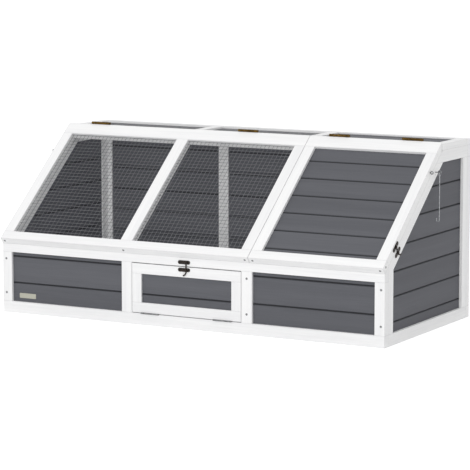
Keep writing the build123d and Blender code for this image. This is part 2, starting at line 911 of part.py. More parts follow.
left_keeper_screws = plate_screws(keeper_planes[-1])
right_keeper_screws = plate_screws(keeper_planes[1])
left_lid_bore = eye_bore(lid_eyes[-1], lid_eye_radius, lid_eye_wire)
right_lid_bore = eye_bore(lid_eyes[1], lid_eye_radius, lid_eye_wire)
save(
    lid_rails(
        left_x,
        left_lid_right_x,
        left_lid_housings,
        left_edge_screws + [left_side_screw] + left_lid_leaf_screws,
    ),
    "left_lid_rails",
)
left_stiles = lid_stiles(
    [
        (left_x, left_x + lid_stile),
        (middle_left_x, middle_right_x),
        (left_lid_right_x - lid_stile, left_lid_right_x),
    ],
    left_lid_housings,
    left_edge_screws + left_keeper_screws,
)
save(bore(left_stiles, [left_lid_bore]), "left_lid_stiles")
save(net(lid, outer_net_bay), "left_lid_net_outer")
save(net(lid, inner_net_bay), "left_lid_net_inner")
save(
    lid_rails(
        right_lid_left_x,
        right_x,
        right_lid_housings,
        right_edge_screws + [right_side_screw] + right_lid_leaf_screws,
    ),
    "right_lid_rails",
)
right_stiles = lid_stiles(
    [(right_lid_left_x, right_lid_left_x + lid_stile), (right_x - lid_stile, right_x)],
    right_lid_housings,
    right_edge_screws + right_keeper_screws,
)
save(bore(right_stiles, [right_lid_bore]), "right_lid_stiles")
save(boards(lid, [lid_board_bay], lid_groove, board_cover), "right_lid_boards")

# Door: a boarded frame that drops forward on two hinges under its bottom edge
door_bay = box_outline(
    -door_side_x + door_stile, door_bottom + door_rail, door_side_x - door_stile, door_top - door_rail
)
door_housings = [board_housing(door, door_bay)]
door_plate_screws = plate_screws(door_plate_plane)
save(
    frame_pieces(
        door,
        [
            box_outline(-door_side_x, door_bottom, door_side_x, door_bottom + door_rail),
            box_outline(-door_side_x, door_top - door_rail, door_side_x, door_top),
        ],
        door_housings,
        door_leaf_screws + door_plate_screws,
    ),
    "door_rails",
)
save(
    frame_pieces(
        door,
        [
            box_outline(x, door_bottom + door_rail, x + door_stile, door_top - door_rail)
            for x in (-door_side_x, door_side_x - door_stile)
        ],
        door_housings,
    ),
    "door_stiles",
)
save(boards(door, [door_bay], front_groove, front_board_cover), "door_boards")

# Hinges
save(hinge_leaves(lid_hinges, fixed_side, lid_hinge, True), "roof_hinge_leaves")
save(hinge_leaves(left_lid_hinges, moving_side, lid_hinge, False), "left_lid_hinge_leaves")
save(hinge_leaves(right_lid_hinges, moving_side, lid_hinge, False), "right_lid_hinge_leaves")
save(hinge_leaves(door_hinges, moving_side, door_hinge, True), "front_hinge_leaves")
save(hinge_leaves(door_hinges, fixed_side, door_hinge, False), "door_hinge_leaves")
with BuildPart() as pins:
    add(hinge_pins(lid_hinges, lid_hinge))
    add(hinge_pins(door_hinges, door_hinge))
save(pins.part, "hinge_pins")

# Latches
save(latch_plates([door_plate_plane], door_hook_offset, hook_layer, True), "door_latch_plate")
save(latch_plates([door_keeper_plane], door_hook_offset, hook_layer, False), "door_latch_keeper")
save(latch_plates(list(rail_plate_planes.values()), 0, hook_layer, True), "side_latch_plates")
door_pivot = Plane(origin=(door_hook_x, front_y, door_plate_z), x_dir=(1, 0, 0), z_dir=(0, -1, 0))
save(latch_hook(door_pivot, -1), "door_latch_hook")
for side in sides:
    name = side_names[side]
    save(latch_plates([keeper_planes[side]], 0, hook_layer, True), f"{name}_latch_keeper")
    across = (0, side * slope_cos, side * slope_sin)
    pivot = Plane(origin=rail_plate_planes[side].origin, x_dir=across, z_dir=(side, 0, 0))
    save(latch_hook(pivot, side), f"{name}_latch_hook")

# Screw eyes and stay hooks
save(screw_eyes(list(rail_eyes.values()), rail_eye_radius, rail_eye_wire), "rail_eyes")
for side in sides:
    name = side_names[side]
    save(screw_eyes([lid_eyes[side]], lid_eye_radius, lid_eye_wire), f"{name}_lid_eye")
    save(stay_hook(side), f"{name}_stay_hook")

# Screws, one group for each body that they ride on
rail_plate_screws = [screw for side in sides for screw in plate_screws(rail_plate_planes[side])]
save(
    screw_group(
        front_screws
        + rear_screws
        + roof_leaf_screws
        + front_leaf_screws
        + rail_plate_screws
        + plate_screws(door_keeper_plane)
    ),
    "frame_screws",
)
save(
    screw_group(left_edge_screws + [left_side_screw] + left_lid_leaf_screws + left_keeper_screws),
    "left_lid_screws",
)
save(
    screw_group(right_edge_screws + [right_side_screw] + right_lid_leaf_screws + right_keeper_screws),
    "right_lid_screws",
)
save(screw_group(door_leaf_screws + door_plate_screws), "door_screws")

# Joint places, for the record
latch_point = rail_plate_planes[1].origin
eye_point = lid_eyes[1]
stay_point = stay_pivot(1)
print("lid hinge axis y z", round(hinge_axis_y, 3), round(hinge_axis_z, 3))
print("door hinge axis y z", round(door_axis_y, 3), round(door_axis_z, 3))
print("door hook pivot x z", door_hook_x, door_plate_z)
print("side hook pivot y z", round(latch_point.Y, 3), round(latch_point.Z, 3))
print("stay pivot x y z", [round(value, 3) for value in stay_point])
print("lid eye x y z", [round(value, 3) for value in eye_point])
print("front face y", round(front_y, 3), "back face y", round(back_y, 3), "lid run", round(lid_run, 2))
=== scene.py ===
import json
from math import radians

import bpy
import numpy as np
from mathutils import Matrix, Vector


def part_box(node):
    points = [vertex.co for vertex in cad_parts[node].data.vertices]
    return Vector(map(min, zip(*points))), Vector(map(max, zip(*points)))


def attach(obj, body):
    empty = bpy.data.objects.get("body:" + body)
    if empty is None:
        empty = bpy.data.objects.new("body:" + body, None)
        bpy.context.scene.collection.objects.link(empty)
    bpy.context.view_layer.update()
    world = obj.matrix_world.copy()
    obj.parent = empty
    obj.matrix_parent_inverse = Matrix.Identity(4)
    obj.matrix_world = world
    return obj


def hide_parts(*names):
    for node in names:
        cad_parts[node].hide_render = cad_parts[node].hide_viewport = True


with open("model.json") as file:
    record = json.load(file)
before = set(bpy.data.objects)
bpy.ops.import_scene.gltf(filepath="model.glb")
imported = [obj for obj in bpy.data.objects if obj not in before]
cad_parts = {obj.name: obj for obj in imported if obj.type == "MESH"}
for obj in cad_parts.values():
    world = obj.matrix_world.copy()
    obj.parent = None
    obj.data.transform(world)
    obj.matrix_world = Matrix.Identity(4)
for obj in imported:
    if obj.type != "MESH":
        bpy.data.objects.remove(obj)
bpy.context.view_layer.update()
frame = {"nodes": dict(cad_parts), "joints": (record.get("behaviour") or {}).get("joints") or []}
nodes = frame["nodes"]
mm = 0.001

# The viewpoint: a long lens to the right of the front, a little over a metre up and six and a
# half metres off, tipped down by a few degrees. It is fitted to the corners of the walls.
photo_side = 470
focal_pixels = 2411.8
view_azimuth = 28.676
view_elevation = 7.954
camera = bpy.data.objects.new("camera", bpy.data.cameras.new("camera"))
camera.data.sensor_width = 36
camera.data.lens = focal_pixels / photo_side * camera.data.sensor_width
camera.location = (3.1884, -5.8214, 1.1511)
camera.rotation_euler = (radians(90 - view_elevation), 0, radians(view_azimuth))
camera.data.clip_end = 200
bpy.context.scene.collection.objects.link(camera)
bpy.context.scene.camera = camera
bpy.context.scene.view_settings.view_transform = "Standard"


# Painted timber frames: planed softwood lengths, sawn square, under two coats of satin white.
# The paint fills the grain, which still shows as faint lengthwise ridges. The arrises are eased and
# darkened by a painted shade, so a fine line shows wherever two lengths meet flush.
paint_white = "#f2f2f2"
paint_white_low = "#e9e9ea"
grain_length = 140 * mm
grain_width = 3.5 * mm
grain_relief = 0.3 * mm
brush_length = 8 * grain_length
brush_width = 9 * grain_width
arris_radius = 1.2 * mm
# Painted shade along the arrises: the colour there is darkened by this share, for the shadow in the fine
# gap where two lengths meet.
arris_shade = 0.2
slope = radians(38.86)


def linear(code):
    """The linear colour of an sRGB hex code.

    It is c / 12.92 up to 0.04045, and ((c + 0.055) / 1.055) ** 2.4 above."""
    srgb = np.array([int(code[i : i + 2], 16) for i in (1, 3, 5)]) / 255
    rgb = np.where(srgb <= 0.04045, srgb / 12.92, ((srgb + 0.055) / 1.055) ** 2.4)
    return (*rgb.tolist(), 1.0)


def add_node(tree, kind, inputs=None, **settings):
    """Add one node: settings are its own properties, inputs are values or the sockets that feed it."""
    node = tree.nodes.new(kind)
    for name, value in settings.items():
        setattr(node, name, value)
    for name, value in (inputs or {}).items():
        if isinstance(value, bpy.types.NodeSocket):
            tree.links.new(value, node.inputs[name])
        else:
            node.inputs[name].default_value = value
    return node


def new_material(name):
    """An empty material: its node tree, its surface shader and its object coordinates."""
    material = bpy.data.materials.new(name)
    material.use_nodes = True
    tree = material.node_tree
    tree.nodes.clear()
    shader = add_node(tree, "ShaderNodeBsdfPrincipled")
    output = add_node(tree, "ShaderNodeOutputMaterial")
    tree.links.new(shader.outputs["BSDF"], output.inputs["Surface"])
    place = add_node(tree, "ShaderNodeTexCoord")
    return material, tree, shader, place.outputs["Object"]


def painted_timber(name, turn, low, high, roughness, relief, sheen, cover=0, joint=0, board_change=0):
    """Satin paint on planed softwood, with its grain along the X axis of the frame that turn gives.

    The colour runs from low to high with a noise stretched along the grain, 140 mm by 3.5 mm, and a
    broader one for the hand of the brush. A painted shade darkens it by arris_shade where the normal
    rounded over the arris leaves the face's own: 1 - n . m grows from 0 to 0.1. Boards of a given
    cover, with one joint at a given place on the turned Z axis, each differ a little in tone, and a
    painted shade darkens the groove where they meet: dark to 1.2 mm from the joint, gone at 3.2 mm."""
    material, tree, shader, place = new_material(name)
    grain_place = add_node(
        tree,
        "ShaderNodeMapping",
        {"Vector": place, "Rotation": turn, "Scale": (grain_length, grain_width, grain_width)},
        vector_type="TEXTURE",
    )
    grain = add_node(
        tree,
        "ShaderNodeTexNoise",
        {
            "Vector": grain_place.outputs[0],
            "Scale": 1,
            "Detail": 4,
            "Roughness": 0.6,
            "Distortion": 0.4,
        },
    )
    brush_place = add_node(
        tree,
        "ShaderNodeMapping",
        {"Vector": place, "Rotation": turn, "Scale": (brush_length, brush_width, brush_width)},
        vector_type="TEXTURE",
    )
    brush = add_node(
        tree, "ShaderNodeTexNoise", {"Vector": brush_place.outputs[0], "Scale": 1, "Detail": 2}
    )
    both = add_node(
        tree,
        "ShaderNodeMath",
        {0: grain.outputs["Fac"], 1: brush.outputs["Fac"]},
        operation="ADD",
    )
    spread = add_node(
        tree,
        "ShaderNodeMapRange",
        {"Value": both.outputs[0], "From Min": 0.75, "From Max": 1.25},
    )
    colour = add_node(
        tree,
        "ShaderNodeMix",
        {"Factor": spread.outputs[0], 6: linear(low), 7: linear(high)},
        data_type="RGBA",
    )
    result = colour.outputs[2]
    if board_change:
        board_place = add_node(
            tree,
            "ShaderNodeMapping",
            {"Vector": place, "Rotation": turn, "Scale": (1, 1, cover)},
            vector_type="TEXTURE",
        )
        height = add_node(tree, "ShaderNodeSeparateXYZ", {"Vector": board_place.outputs[0]})
        shifted = add_node(
            tree,
            "ShaderNodeMath",
            {0: height.outputs["Z"], 1: joint / cover},
            operation="SUBTRACT",
        )
        course = add_node(tree, "ShaderNodeMath", {0: shifted.outputs[0]}, operation="FLOOR")
        chance = add_node(
            tree, "ShaderNodeTexWhiteNoise", {"W": course.outputs[0]}, noise_dimensions="1D"
        )
        tone = add_node(
            tree,
            "ShaderNodeMapRange",
            {"Value": chance.outputs["Value"], "To Min": 1 - board_change, "To Max": 1 + board_change},
        )
        toned = add_node(
            tree, "ShaderNodeVectorMath", {0: result, "Scale": tone.outputs[0]}, operation="SCALE"
        )
        # Painted shade in the V-grooves: the colour darkens near each joint, fully within 1.2 mm and not
        # at all past 3.2 mm.
        from_joint = add_node(
            tree, "ShaderNodeMath", {0: shifted.outputs[0], 1: 0.5}, operation="PINGPONG"
        )
        groove_shade = add_node(
            tree,
            "ShaderNodeMapRange",
            {
                "Value": from_joint.outputs[0],
                "From Min": joint_shade_reach[0] / cover,
                "From Max": joint_shade_reach[1] / cover,
                "To Min": joint_shade,
                "To Max": 1,
            },
        )
        groove_shaded = add_node(
            tree,
            "ShaderNodeVectorMath",
            {0: toned.outputs["Vector"], "Scale": groove_shade.outputs[0]},
            operation="SCALE",
        )
        result = groove_shaded.outputs["Vector"]
    # Painted shade along the arrises: the colour darkens where the rounded normal turns away from the
    # face's own.
    arris = add_node(tree, "ShaderNodeBevel", {"Radius": arris_radius}, samples=6)
    face = add_node(tree, "ShaderNodeNewGeometry")
    turned = add_node(
        tree,
        "ShaderNodeVectorMath",
        {0: arris.outputs[0], 1: face.outputs["True Normal"]},
        operation="DOT_PRODUCT",
    )
    fade = add_node(
        tree,
        "ShaderNodeMapRange",
        {"Value": turned.outputs["Value"], "From Min": 0.9, "To Min": 1 - arris_shade, "To Max": 1},
    )
    shaded = add_node(
        tree, "ShaderNodeVectorMath", {0: result, "Scale": fade.outputs[0]}, operation="SCALE"
    )
    tree.links.new(shaded.outputs["Vector"], shader.inputs["Base Color"])
    shine = add_node(
        tree,
        "ShaderNodeMapRange",
        {"Value": grain.outputs["Fac"], "To Min": roughness - 0.06, "To Max": roughness + 0.08},
    )
    tree.links.new(shine.outputs[0], shader.inputs["Roughness"])
    relief_node = add_node(
        tree,
        "ShaderNodeBump",
        {
            "Height": grain.outputs["Fac"],
            "Strength": relief,
            "Distance": grain_relief,
            "Normal": arris.outputs[0],
        },
    )
    tree.links.new(relief_node.outputs[0], shader.inputs["Normal"])
    shader.inputs["Specular IOR Level"].default_value = sheen
    return material


def dress(names, material):
    """Give a finish to solids that keep their own shape."""
    for name in names:
        nodes[name].data.materials.clear()
        nodes[name].data.materials.append(material)


along_x = (0, 0, 0)
along_y = (0, 0, radians(90))
along_z = (0, radians(-90), 0)
up_the_slope = (0, -slope, radians(90))
white_frames = {
    "along_x": (
        along_x,
        "front_bottom_rail front_top_rail rear_rails roof_rails left_lid_rails right_lid_rails"
        " door_rails",
    ),
    "along_y": (
        along_y,
        "left_side_rails right_side_rails partition_rails partition_top_rail roof_bars",
    ),
    "along_z": (
        along_z,
        "front_stiles door_jambs left_side_stiles right_side_stiles rear_uprights partition_posts"
        " door_stiles",
    ),
    "up_the_slope": (
        up_the_slope,
        "left_side_slope_rail right_side_slope_rail left_lid_stiles right_lid_stiles",
    ),
}
for direction, (turn, names) in white_frames.items():
    white = painted_timber(
        f"satin_white_paint_{direction}", turn, paint_white_low, paint_white, 0.45, 0.35, 0.3
    )
    dress(names.split(), white)

# Panel boards: half-lapped softwood boards with a chamfer along each edge, let into grooves in the
# frames before they are screwed up, and painted slate grey. No two boards take the paint quite alike.
slate = "#626368"
slate_low = "#5b5c61"
# Painted shade in the V-grooves between boards: within this reach of a joint the colour is darkened
# towards joint_shade.
joint_shade_reach = (1.2 * mm, 3.2 * mm)
joint_shade = 0.38
board_cover = 66 * mm
front_cover = 74.6 * mm
front_joint = 84.6 * mm
rear_cover = 63.4 * mm
rear_joint = 43.2 * mm
side_joint = 58 * mm
roof_joint = 40 * mm
lid_corner = np.array([0, *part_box("right_lid_rails")[1][1:]])
up_slope = np.array([0, np.cos(slope), np.sin(slope)])
lid_joint = lid_corner @ up_slope - 90 * mm
over_the_lid = (slope - radians(90), 0, 0)
over_the_roof = (radians(-90), 0, 0)
panels = {
    "front": (
        "front_boards_left front_boards_right door_boards", along_x, front_cover, front_joint
    ),
    "rear": ("rear_boards", along_x, rear_cover, rear_joint),
    "sides": (
        "left_side_boards right_side_boards partition_boards", along_y, board_cover, side_joint
    ),
    "lid": ("right_lid_boards", over_the_lid, board_cover, lid_joint),
    "roof": ("roof_boards", over_the_roof, board_cover, roof_joint),
}
for panel, (names, turn, cover, joint) in panels.items():
    grey = painted_timber(
        f"slate_grey_paint_{panel}", turn, slate_low, slate, 0.6, 0.6, 0.15, cover, joint, 0.05
    )
    dress(names.split(), grey)

# Badge plate: a small plate of matt ivory lacquer on tin, pinned flat in the corner of the left
# front panel. It is bare, with rounded corners and a softly rolled edge.
plate_ivory = "#b7b6a9"
plate_ivory_low = "#a9a899"
board_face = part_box("front_boards_left")[0][1]
plate_middle = (-513.5 * mm, 49 * mm)
plate_half = (27 * mm, 7 * mm)
plate_corner = 2.5 * mm
plate_rise = 0.9 * mm
plate_sides = 48
edge_insets = np.array([0, 0, 0.1, 0.35, 0.8, 1.6]) * mm
edge_heights = np.array([0, 0.55, 0.8, 0.95, 0.92, 0.85]) * plate_rise


def rolled_plate():
    """A thin plate with rounded corners, as rings that step in and out from its outline.

    outline(a) = centre + (half - corner) sign(cos a, sin a) + corner (cos a, sin a), and each ring is
    drawn in by an inset and stands off the board by a height, so that the edge rolls over."""
    turn = (np.arange(plate_sides) + 0.5) * 2 * np.pi / plate_sides
    ring = np.stack([np.cos(turn), np.sin(turn)], -1)
    outline = np.sign(ring) * (np.array(plate_half) - plate_corner) + plate_corner * ring
    flat = outline * (1 - edge_insets[:, None, None] / np.array(plate_half)) + plate_middle
    depth = np.broadcast_to((board_face - edge_heights)[:, None], flat.shape[:2])
    points = np.stack([flat[..., 0], depth, flat[..., 1]], -1)
    index = np.arange(depth.size).reshape(depth.shape)
    after = np.roll(index, -1, axis=1)
    quads = np.stack([index[:-1], after[:-1], after[1:], index[1:]], -1).reshape(-1, 4)
    return points.reshape(-1, 3), quads.tolist() + [index[-1].tolist(), index[0, ::-1].tolist()]


def lacquered_tin():
    """Matt lacquer over tin: ivory, mottled over 5 mm, with a dull shine."""
    material, tree, shader, place = new_material("ivory_lacquered_tin")
    mottle = add_node(
        tree, "ShaderNodeTexNoise", {"Vector": place, "Scale": 1 / (5 * mm), "Detail": 3}
    )
    colour = add_node(
        tree,
        "ShaderNodeMix",
        {"Factor": mottle.outputs["Fac"], 6: linear(plate_ivory_low), 7: linear(plate_ivory)},
        data_type="RGBA",
    )
    tree.links.new(colour.outputs[2], shader.inputs["Base Color"])
    dimple = add_node(
        tree,
        "ShaderNodeBump",
        {"Height": mottle.outputs["Fac"], "Strength": 0.2, "Distance": 0.1 * mm},
    )
    tree.links.new(dimple.outputs[0], shader.inputs["Normal"])
    shader.inputs["Roughness"].default_value = 0.45
    return material


def new_piece(name, shape, material, body, stands_for=None):
    """Put points and faces into a mesh, finish it, and let it ride on a body in a node's stead."""
    points, faces = shape
    mesh = bpy.data.meshes.new(name)
    mesh.from_pydata(points.tolist(), [], faces)
    mesh.polygons.foreach_set("use_smooth", [True] * len(mesh.polygons))
    mesh.materials.append(material)
    mesh.update()
    piece = bpy.data.objects.new(name, mesh)
    bpy.context.scene.collection.objects.link(piece)
    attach(piece, body)
    if stands_for:
        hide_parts(stands_for)


new_piece("bare_plate", rolled_plate(), lacquered_tin(), "root")

# Wire netting: half-inch square welded mesh of one-millimetre galvanised wire, one layer of wires
# laid across the other and fused, trapped in a saw cut round each bay, and a little bowed.
mesh_pitch = 12.7 * mm
mesh_wire = 0.5 * mm
mesh_lap = 4 * mm
mesh_bow = 0.8 * mm
layer_drop = 0.9 * mm
net_half_thickness = 0.5 * mm
wire_sides = 6
wire_steps = 24
zinc_wire = "#8e8f93"
zinc_wire_low = "#6a6b6f"


def tubes(paths, normals, radius, sides):
    """Round wires, as an array of wires by steps by sides by 3, and their faces.

    point = path + radius (cos a (t x n) + sin a n), where t is the wire's direction, n the normal given
    for each step, and a goes once round; the ends are closed by one face each."""
    ahead = np.gradient(paths, axis=1)
    ahead /= np.linalg.norm(ahead, axis=-1, keepdims=True)
    beside = np.cross(ahead, normals)
    beside /= np.linalg.norm(beside, axis=-1, keepdims=True)
    above = np.cross(beside, ahead)
    turn = np.arange(sides) * 2 * np.pi / sides
    radius = np.broadcast_to(radius, paths.shape[:2])[:, :, None, None]
    ring = np.cos(turn)[:, None] * beside[:, :, None] + np.sin(turn)[:, None] * above[:, :, None]
    points = paths[:, :, None] + radius * ring
    wires, steps = paths.shape[:2]
    index = np.arange(wires * steps * sides).reshape(wires, steps, sides)
    after = np.roll(index, -1, axis=2)
    quads = np.stack([index[:, :-1], index[:, 1:], after[:, 1:], after[:, :-1]], -1).reshape(-1, 4)
    caps = np.concatenate([index[:, 0], index[:, -1, ::-1]])
    return points.reshape(-1, 3), quads.tolist() + caps.tolist()


def join(parts):
    """Several (points, faces) pairs as one pair, the faces renumbered."""
    points = np.concatenate([part[0] for part in parts])
    counts = np.cumsum([0] + [len(part[0]) for part in parts])
    faces = [
        [corner + start for corner in face]
        for (_, part_faces), start in zip(parts, counts)
        for face in part_faces
    ]
    return points, faces


def welded_mesh(corner, across, up, width, height):
    """A panel of welded mesh: straight wires at the pitch both ways, bowed outwards in the middle.

    point(s) = start + s along + bow sin(pi u) sin(pi v) n, where u and v are the shares of the way
    across and up, and the second layer lies one wire's thickness, less the weld, behind the first."""
    normal = np.cross(across, up)

    def layer(along, beside, length, breadth, depth):
        count = int((breadth - 2 * mesh_lap) / mesh_pitch) + 1
        spare = (breadth - (count - 1) * mesh_pitch) / 2
        offsets = spare + np.arange(count) * mesh_pitch
        steps = np.linspace(0, 1, wire_steps)
        shares = (steps[None, :], (offsets / breadth)[:, None])
        bow = mesh_bow * np.sin(np.pi * shares[0]) * np.sin(np.pi * shares[1])
        paths = (
            corner
            + offsets[:, None, None] * beside
            + (steps * length)[None, :, None] * along
            + (bow + depth)[:, :, None] * normal
        )
        return tubes(paths, np.broadcast_to(normal, paths.shape), mesh_wire, wire_sides)

    front = layer(across, up, width, height, 0)
    behind = layer(up, across, height, width, -layer_drop)
    return join([front, behind])


def galvanised_wire():
    """Zinc-coated steel wire: a pale grey, dull skin with darker patches a few millimetres long."""
    material, tree, shader, place = new_material("galvanised_wire")
    patches = add_node(
        tree, "ShaderNodeTexNoise", {"Vector": place, "Scale": 1 / (4 * mm), "Detail": 3}
    )
    colour = add_node(
        tree,
        "ShaderNodeMix",
        {"Factor": patches.outputs["Fac"], 6: linear(zinc_wire_low), 7: linear(zinc_wire)},
        data_type="RGBA",
    )
    tree.links.new(colour.outputs[2], shader.inputs["Base Color"])
    shader.inputs["Metallic"].default_value = 0.35
    shader.inputs["Roughness"].default_value = 0.42
    return material


def net_frame(node, up):
    """A net's lower left corner, its two directions and its two lengths, from its solid."""
    low, high = (np.array(point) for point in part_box(node))
    corner = low + net_half_thickness * to_top
    width, height = (high - low) @ to_right, (high - low) @ up
    return corner, to_right, up, width, height


to_right, to_back, to_top = np.eye(3)
galvanised = galvanised_wire()
nets = {
    "lid_mesh_outer": ("left_lid_net_outer", up_slope, "left_lid"),
    "lid_mesh_inner": ("left_lid_net_inner", up_slope, "left_lid"),
    "roof_mesh_left": ("roof_net_left", to_back, "root"),
    "roof_mesh_middle": ("roof_net_middle", to_back, "root"),
}
for piece, (node, up, body) in nets.items():
    new_piece(piece, welded_mesh(*net_frame(node, up)), galvanised, body, node)

# Butt hinges: steel leaves rolled round a pin, three screws to a leaf. The lids' are brass-plated and
# gone brown in the air, dark in patches and brighter where they are handled; the door's are dull zinc.
brass = "#6f5627"
brass_low = "#3b2c12"
door_hinge_grey = "#8c8d8e"
door_hinge_grey_low = "#626466"
metal_edge = 0.3 * mm
metal_relief = 0.1 * mm


def plated_metal(name, low, high, patch, metallic, roughness):
    """Plated steel: colour and shine both run from low to high over patches of a given size."""
    material, tree, shader, place = new_material(name)
    patches = add_node(
        tree, "ShaderNodeTexNoise", {"Vector": place, "Scale": 1 / patch, "Detail": 5}
    )
    spread = add_node(
        tree,
        "ShaderNodeMapRange",
        {"Value": patches.outputs["Fac"], "From Min": 0.35, "From Max": 0.65},
    )
    colour = add_node(
        tree,
        "ShaderNodeMix",
        {"Factor": spread.outputs[0], 6: linear(low), 7: linear(high)},
        data_type="RGBA",
    )
    tree.links.new(colour.outputs[2], shader.inputs["Base Color"])
    shine = add_node(
        tree,
        "ShaderNodeMapRange",
        {"Value": patches.outputs["Fac"], "To Min": roughness + 0.12, "To Max": roughness - 0.12},
    )
    tree.links.new(shine.outputs[0], shader.inputs["Roughness"])
    shader.inputs["Metallic"].default_value = metallic
    edge = add_node(tree, "ShaderNodeBevel", {"Radius": metal_edge}, samples=4)
    grain = add_node(
        tree,
        "ShaderNodeBump",
        {
            "Height": patches.outputs["Fac"],
            "Strength": 0.2,
            "Distance": metal_relief,
            "Normal": edge.outputs[0],
        },
    )
    tree.links.new(grain.outputs[0], shader.inputs["Normal"])
    return material


browned_brass = plated_metal("browned_brass_plate", brass_low, brass, 6 * mm, 0.9, 0.45)
dull_zinc = plated_metal("dull_zinc_plate", door_hinge_grey_low, door_hinge_grey, 6 * mm, 0.6, 0.5)
lid_hinges = ["roof_hinge_leaves", "left_lid_hinge_leaves", "right_lid_hinge_leaves", "hinge_pins"]
dress(lid_hinges, browned_brass)
dress(["front_hinge_leaves", "door_hinge_leaves"], dull_zinc)

# Turn hooks: stamped steel plates with a riveted pivot, bronzed almost black. One is on the door and
# one on each side wall, and the post that each hooks onto is on the front wall or on a lid.
bronze = "#2e231a"
bronze_low = "#120d09"
bronzed = plated_metal("bronzed_steel", bronze_low, bronze, 3 * mm, 0.5, 0.45)
dress([name for name in nodes if "latch" in name], bronzed)

# Screws: countersunk steel with a dull zinc plate, a cross recess in each head. They draw the frames
# together at the corners and the lids' rails to their stiles, and hold the hinges and latch plates.
screw_grey = "#9d9e9f"
screw_grey_low = "#6d6e70"
screw_sides = 32
head_half = 3.2 * mm
shank_half = 1.6 * mm
point_half = 0.25 * mm
head_rim = 0.25 * mm
recess_rings = 11
recess_half = 0.5 * mm
recess_reach = 1.9 * mm
recess_depth = 1.1 * mm
recess_side = 0.25 * mm
recess_end = 0.5 * mm
frame_screw = 38 * mm
lid_screw = 40 * mm
plate_screw = 10 * mm
leaf_screw = 9 * mm


def screws(places):
    """Countersunk screws, each given by the middle of its head, the way that it faces, and its length.

    point(r, a) = middle + r (cos a, sin a) + h(r, a) out. The height h follows the profile of the
    head, its cone and the shank down to the point, less the recess: its depth times two smooth steps,
    one across the arms of a cross and one along them."""
    inner = np.linspace(0.1, 0.94, recess_rings) * head_half
    radii = np.array([*inner, head_half, head_half, shank_half, shank_half, point_half])
    turn = np.arange(screw_sides) * 2 * np.pi / screw_sides
    flat = np.stack([np.cos(turn), np.sin(turn)], -1) * radii[:, None, None]
    narrow = np.abs(flat).min(-1)
    wide = np.abs(flat).max(-1)
    step = np.clip((recess_half - narrow) / recess_side + 0.5, 0, 1)
    step *= np.clip((recess_reach - wide) / recess_end + 0.5, 0, 1)
    step[recess_rings:] = 0
    parts = []
    for middle, out, length in places:
        side = np.cross(out, to_right if abs(out[0]) < 0.9 else to_top)
        side /= np.linalg.norm(side)
        other = np.cross(out, side)
        height = np.zeros(len(radii))
        height[-4:] = [-head_rim, shank_half - head_half, 4 * shank_half - length, -length]
        level = height[:, None] - recess_depth * step
        points = middle + flat[..., :1] * side + flat[..., 1:] * other + level[..., None] * out
        index = np.arange(level.size).reshape(level.shape)
        after = np.roll(index, -1, axis=1)
        quads = np.stack([index[:-1], index[1:], after[1:], after[:-1]], -1).reshape(-1, 4)
        ends = [index[0].tolist(), index[-1, ::-1].tolist()]
        parts.append((points.reshape(-1, 3), quads.tolist() + ends))
    return join(parts)


# The frames' corner screws, in the front and back faces of the posts.
front_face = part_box("front_stiles")[0][1]
back_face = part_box("rear_uprights")[1][1]
post_places = np.array([-579, 185.6, 579]) * mm
front_rows = np.array([56, 152]) * mm
back_rows = np.array([100, 381]) * mm
root_screws = [
    (np.array([x, y, z]), out, frame_screw)
    for y, out, rows in ((front_face, -to_back, front_rows), (back_face, to_back, back_rows))
    for x in post_places
    for z in rows
]

# The hinges' screws. A row of hinges has a pin, a way from the pin to the screws, a gap between the
# pin's plane and each leaf, and a spread of its screws to either side.
joints = {joint["name"]: np.array(joint["pos_m"]) for joint in frame["joints"]}
ridge_hinges = (joints["left_lid_hinge"] * (0, 1, 1), -12.3 * mm * to_top, 0.2 * mm, 22 * mm)
sill_hinges = (joints["front_door_hinge"] * (0, 1, 1), 9.3 * mm * to_back, 0.1 * mm, 19 * mm)
left_lid_hinges = np.array([-482, 0.4]) * mm
right_lid_hinges = np.array([284.6, 504]) * mm
door_hinges = np.array([-112, 112]) * mm


def leaf_screws(hinges, places, out):
    """The three screws of each leaf on one side of a row of hinges, with heads that face out.

    middle = pin + x right + reach - gap out, where x is the hinge's place less the spread, as it is,
    and plus the spread."""
    pin, reach, gap, spread = hinges
    return [
        (pin + (x + end * spread) * to_right + reach - gap * out, out, leaf_screw)
        for x in places
        for end in (-1, 0, 1)
    ]


root_screws += leaf_screws(ridge_hinges, (*left_lid_hinges, *right_lid_hinges), -to_back)
root_screws += leaf_screws(sill_hinges, door_hinges, to_top)
door_screws = leaf_screws(sill_hinges, door_hinges, -to_top)

# The lids' screws, up their lower edges, low in their outer sides and in their hinge leaves, and the
# latch plates' pairs, which are bronzed like the plates.
side_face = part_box("front_bottom_rail")[1][0]
off_slope = np.array([0, -np.sin(slope), np.cos(slope)])
lid_length = (lid_corner[1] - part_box("right_lid_rails")[0][1]) / np.cos(slope)
half_lid = 10.25 * mm
side_screw_rise = 14.5 * mm
latch_rise = 87.5 * mm
plate_thickness = 1.5 * mm
plate_screw_spread = 13 * mm
left_lid_edge = np.array([-579, -192, 183.4]) * mm
right_lid_edge = np.array([206.6, 579]) * mm


def on_the_lid(x, rise, below):
    """A point at x, a rise up the slope from the lid's lower end, and a depth below its face."""
    return lid_corner + x * to_right + (rise - lid_length) * up_slope - below * off_slope


def lid_screws(side, edge, hinges):
    """One lid's zinc screws, the lower edge's first."""
    places = [(on_the_lid(x, 0, half_lid), -up_slope, lid_screw) for x in edge]
    corner = on_the_lid(side * side_face, side_screw_rise, half_lid)
    places.append((corner, side * to_right, plate_screw))
    return places + leaf_screws(ridge_hinges, hinges, to_back)


def latch_pair(middle, along, out):
    """The two screws of a latch plate that lies on a face and faces out."""
    return [
        (middle + end * plate_screw_spread * along + plate_thickness * out, out, plate_screw)
        for end in (-1, 1)
    ]


def on_the_front(node):
    """The middle of a door latch plate, on the front face of the timber."""
    low, high = (np.array(point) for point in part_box(node))
    return np.array([low[0] + high[0], 2 * front_face, low[2] + high[2]]) / 2


